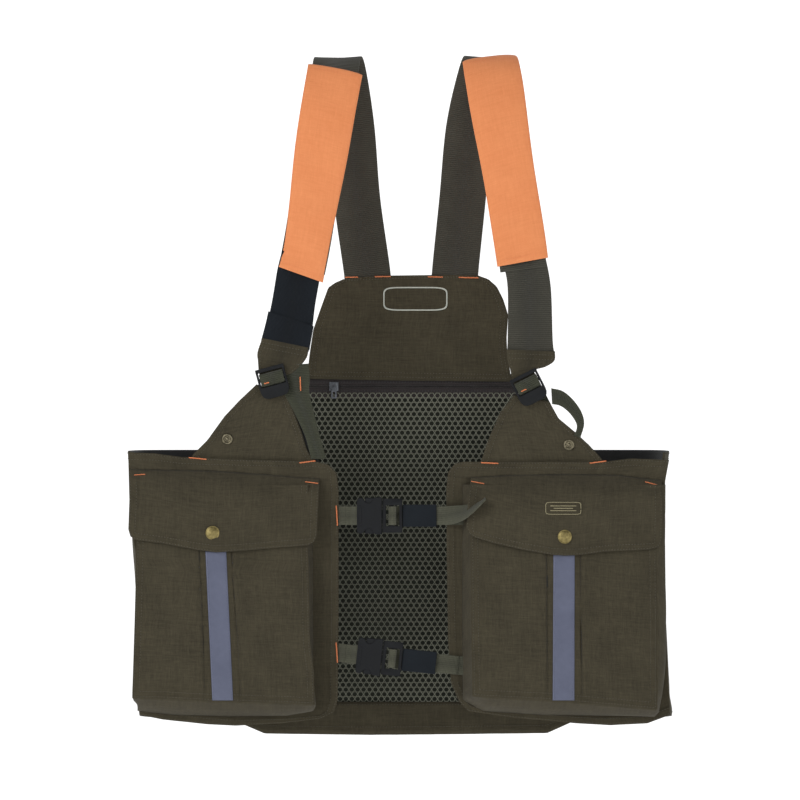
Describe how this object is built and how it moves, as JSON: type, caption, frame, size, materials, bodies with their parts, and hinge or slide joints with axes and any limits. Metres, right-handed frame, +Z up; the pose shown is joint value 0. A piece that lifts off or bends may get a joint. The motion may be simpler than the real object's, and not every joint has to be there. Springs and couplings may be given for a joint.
{
  "type": "utility harness vest",
  "caption": "Canvas utility harness vest with sleeved shoulder straps, mesh back, flapped bellows pockets, a rear bag and buckled chest straps.",
  "frame": {"origin": "on the inner face of the back yoke, near its middle, where the vest lies on the wearer's back", "axes": "+Z up along the wearer's spine, -Y the way the wearer faces (the vest's opening), +X to the right of a person looking at the vest's front"},
  "size_m": [0.5764, 0.1846, 0.7267],
  "materials": {
    "olive_canvas": "woven cotton canvas, dull",
    "olive_mesh": "open knitted mesh",
    "zip_tape": "woven tape with a coil edge",
    "gunmetal": "dark plated metal",
    "snap_brass": "antique brass",
    "black_lining": "smooth lining",
    "shoulder_webbing": "ribbed woven webbing",
    "orange_sleeve": "high visibility cloth",
    "black_plastic": "moulded acetal",
    "strap_webbing": "fine ribbed webbing",
    "reflective": "retroreflective tape",
    "navy_elastic": "woven elastic"
  },
  "bodies": {
    "harness": {"back_yoke": "olive_canvas", "back_mesh_panel": "olive_mesh", "lower_band": "olive_canvas", "rear_game_bag": "olive_canvas", "zip_tape_upper": "zip_tape", "zip_tape_lower": "zip_tape", "upper_buckle_female": "black_plastic", "upper_strap_stub": "strap_webbing", "upper_chest_webbing": "strap_webbing", "upper_strap_tail": "strap_webbing", "lower_buckle_female": "black_plastic", "lower_strap_stub": "strap_webbing", "lower_chest_webbing": "strap_webbing", "left_front_panel": "olive_canvas", "left_chest_panel": "olive_canvas", "left_chest_snap": "gunmetal", "left_side_panel": "black_lining", "left_pocket_bag": "olive_canvas", "left_snap_stud": "snap_brass", "left_reflective_tape": "reflective", "left_shoulder_webbing": "shoulder_webbing", "left_shoulder_sleeve": "orange_sleeve", "left_lower_strap": "navy_elastic", "left_strap_tab": "olive_canvas", "left_adjuster_webbing": "strap_webbing", "left_adjuster_tail": "strap_webbing", "right_front_panel": "olive_canvas", "right_chest_panel": "olive_canvas", "right_chest_snap": "gunmetal", "right_side_panel": "black_lining", "right_pocket_bag": "olive_canvas", "right_snap_stud": "snap_brass", "right_reflective_tape": "reflective", "right_shoulder_webbing": "shoulder_webbing", "right_shoulder_sleeve": "orange_sleeve", "right_lower_strap": "shoulder_webbing", "right_strap_tab": "olive_canvas", "right_adjuster_webbing": "strap_webbing", "right_adjuster_tail": "strap_webbing"},
    "zip_slider": {"zip_slider": "gunmetal"},
    "zip_pull": {"zip_pull": "gunmetal"},
    "upper_buckle": {"upper_buckle_male": "black_plastic", "upper_strap_keeper": "navy_elastic"},
    "lower_buckle": {"lower_buckle_male": "black_plastic", "lower_strap_keeper": "navy_elastic"},
    "left_flap": {"left_pocket_flap": "olive_canvas", "left_snap_cap": "snap_brass", "left_snap_socket": "snap_brass"},
    "left_lock": {"left_ladder_lock": "black_plastic"},
    "right_flap": {"right_pocket_flap": "olive_canvas", "right_snap_cap": "snap_brass", "right_snap_socket": "snap_brass", "right_flap_label": "snap_brass"},
    "right_lock": {"right_ladder_lock": "black_plastic"},
    "upper_prong_upper": {"upper_prong_upper": "black_plastic"},
    "upper_prong_lower": {"upper_prong_lower": "black_plastic"},
    "lower_prong_upper": {"lower_prong_upper": "black_plastic"},
    "lower_prong_lower": {"lower_prong_lower": "black_plastic"}
  },
  "joints": [
    {"name": "zip_slide", "type": "slide", "parent": "harness", "child": "zip_slider", "axis": [1, 0, 0], "range_m": [0, 0.185]},
    {"name": "zip_pull_hinge", "type": "hinge", "parent": "zip_slider", "child": "zip_pull", "pos_m": [-0.071, -0.0016, -0.06], "axis": [-1, 0, 0], "range_deg": [0, 165]},
    {"name": "left_flap_hinge", "type": "hinge", "parent": "harness", "child": "left_flap", "pos_m": [-0.186, -0.1075, -0.15], "axis": [-1, 0, 0], "range_deg": [0, 120]},
    {"name": "left_lock_tilt", "type": "hinge", "parent": "harness", "child": "left_lock", "pos_m": [-0.13825, -0.1082, -0.04149], "axis": [-0.9659, 0, -0.2588], "range_deg": [0, 30], "deforming": ["left_adjuster_webbing", "left_adjuster_tail"]},
    {"name": "right_flap_hinge", "type": "hinge", "parent": "harness", "child": "right_flap", "pos_m": [0.1735, -0.1075, -0.15], "axis": [-1, 0, 0], "range_deg": [0, 120], "deforming": ["upper_strap_tail"]},
    {"name": "right_lock_tilt", "type": "hinge", "parent": "harness", "child": "right_lock", "pos_m": [0.13042, -0.1082, -0.04908], "axis": [-0.891, 0, -0.454], "range_deg": [0, 30], "deforming": ["right_adjuster_webbing", "right_adjuster_tail"]},
    {"name": "upper_buckle_slide", "type": "slide", "parent": "harness", "child": "upper_buckle", "axis": [1, 0, 0], "range_m": [0, 0.024], "deforming": ["upper_chest_webbing", "upper_prong_upper", "upper_prong_lower", "upper_strap_tail"]},
    {"name": "upper_prong_upper_squeeze", "type": "hinge", "parent": "upper_buckle", "child": "upper_prong_upper", "pos_m": [-0.019, -0.11212, -0.1905], "axis": [0, -1, 0], "range_deg": [0, 8], "stiffness_Nm_per_rad": 0.05},
    {"name": "upper_prong_lower_squeeze", "type": "hinge", "parent": "upper_buckle", "child": "upper_prong_lower", "pos_m": [-0.019, -0.11212, -0.2035], "axis": [0, 1, 0], "range_deg": [0, 8], "stiffness_Nm_per_rad": 0.05},
    {"name": "lower_buckle_slide", "type": "slide", "parent": "harness", "child": "lower_buckle", "axis": [0.9945, 0, -0.1045], "range_m": [0, 0.024], "deforming": ["lower_chest_webbing", "lower_prong_upper", "lower_prong_lower"]},
    {"name": "lower_prong_upper_squeeze", "type": "hinge", "parent": "lower_buckle", "child": "lower_prong_upper", "pos_m": [-0.01858, -0.11212, -0.34055], "axis": [0, -1, 0], "range_deg": [0, 8], "stiffness_Nm_per_rad": 0.05},
    {"name": "lower_prong_lower_squeeze", "type": "hinge", "parent": "lower_buckle", "child": "lower_prong_lower", "pos_m": [-0.01994, -0.11212, -0.35348], "axis": [0, 1, 0], "range_deg": [0, 8], "stiffness_Nm_per_rad": 0.05}
  ]
}
